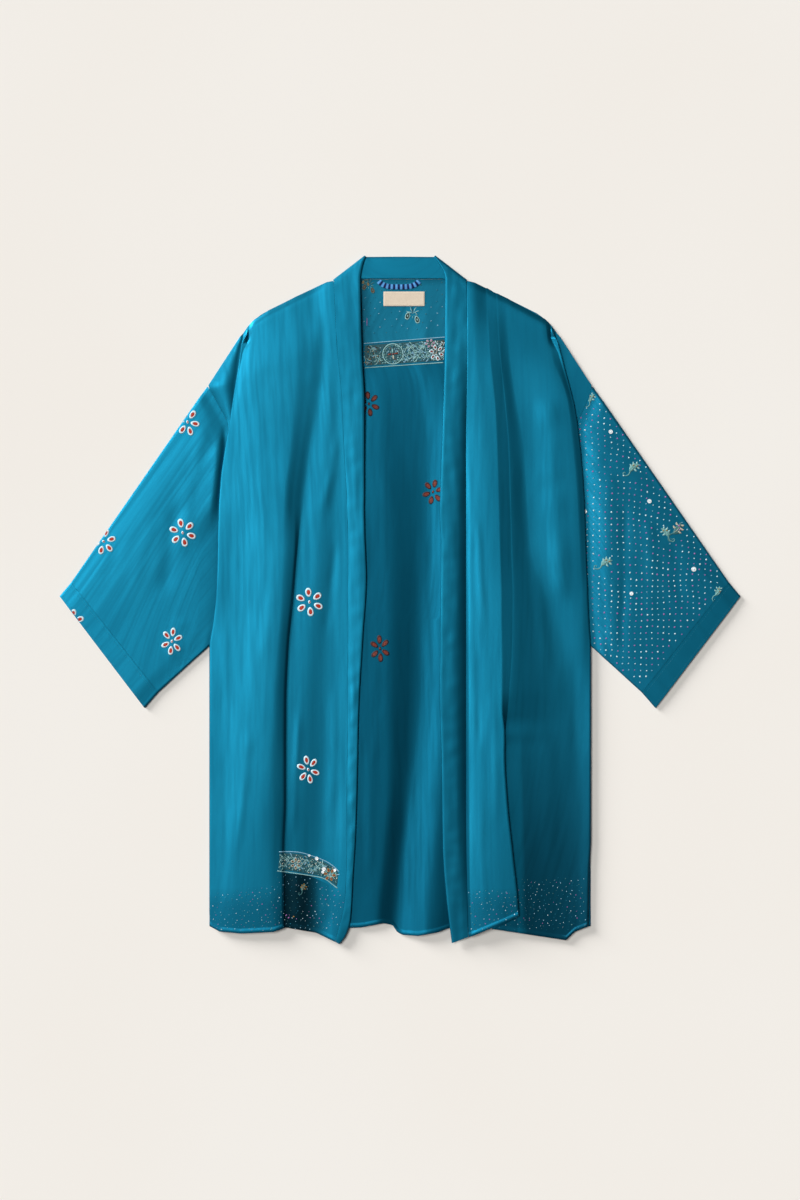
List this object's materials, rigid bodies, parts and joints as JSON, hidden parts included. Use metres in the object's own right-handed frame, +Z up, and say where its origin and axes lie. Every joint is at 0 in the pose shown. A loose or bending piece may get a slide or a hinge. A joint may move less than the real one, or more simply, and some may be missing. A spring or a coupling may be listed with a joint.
{
  "type": "kimono robe",
  "caption": "Open-front kimono robe laid flat, front up: wide dropped sleeves with cuff bands, a folded neck band and long pleats in both fronts.",
  "frame": {"origin": "centre of the robe's outline, on the surface that it lies on", "axes": "+Z up from the surface, out of the robe's front; +Y from the hem to the collar; +X to the right as the front is looked at"},
  "size_m": [0.9862, 0.9971, 0.0148],
  "materials": {
    "teal_silk": "satin",
    "dotted_silk": "satin",
    "band_silk": "satin",
    "striped_ribbon": "matte",
    "label_cotton": "matte"
  },
  "bodies": {
    "root": {"back_panel": "teal_silk", "front_left": "teal_silk", "front_right": "teal_silk", "sleeve_left": "teal_silk", "sleeve_right": "dotted_silk", "cuff_left": "band_silk", "cuff_right": "band_silk", "neck_band": "band_silk", "hanging_loop": "striped_ribbon", "label": "label_cotton"}
  },
  "joints": []
}
